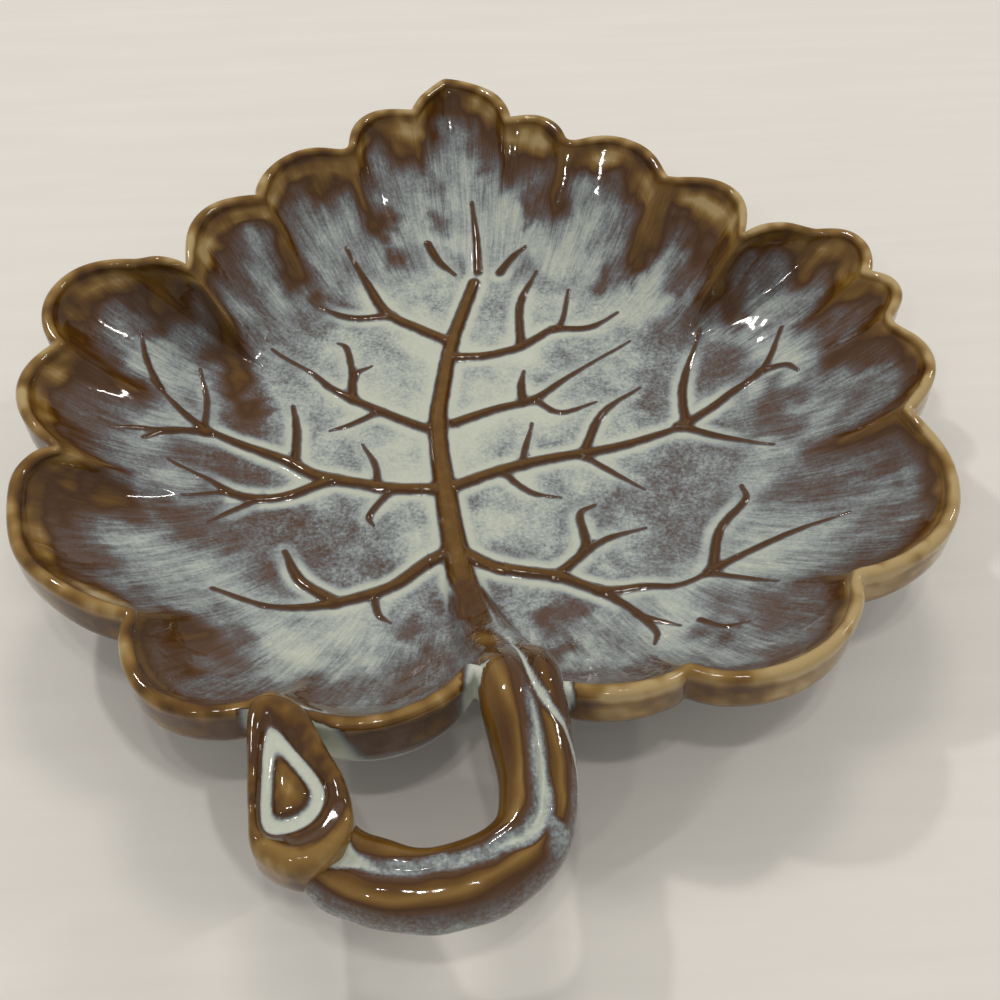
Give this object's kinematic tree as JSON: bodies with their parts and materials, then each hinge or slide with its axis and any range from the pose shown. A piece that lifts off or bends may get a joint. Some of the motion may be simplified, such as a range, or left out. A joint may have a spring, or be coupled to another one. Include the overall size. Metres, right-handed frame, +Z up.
{
  "type": "ring dish",
  "caption": "Leaf-shaped glazed ceramic dish for rings and trinkets, with a lobed rim, raised veins, a foot ring and a looped twig handle.",
  "frame": {"origin": "on the table under the middle of the dish's whole length and width, stem loop included", "axes": "+X to the right with the stem towards the viewer, +Y towards the leaf's tip, +Z up"},
  "size_m": [0.203, 0.2381, 0.0391],
  "materials": {
    "leaf_glaze": "glossy flowing glaze, pale blue over purple and brown, tan where it breaks over edges",
    "vein_glaze": "glossy golden brown glaze, thin over the raised veins",
    "stem_glaze": "glossy brown glaze with pale blue pooled in the grooves",
    "foot_clay": "bare buff clay, matt"
  },
  "bodies": {
    "root": {"leaf_bowl": "leaf_glaze", "foot_ring": "foot_clay", "stem_handle": "stem_glaze", "stem_end": "stem_glaze", "midrib": "vein_glaze", "side_veins_right": "vein_glaze", "side_veins_left": "vein_glaze", "vein_tips": "vein_glaze"}
  },
  "joints": []
}
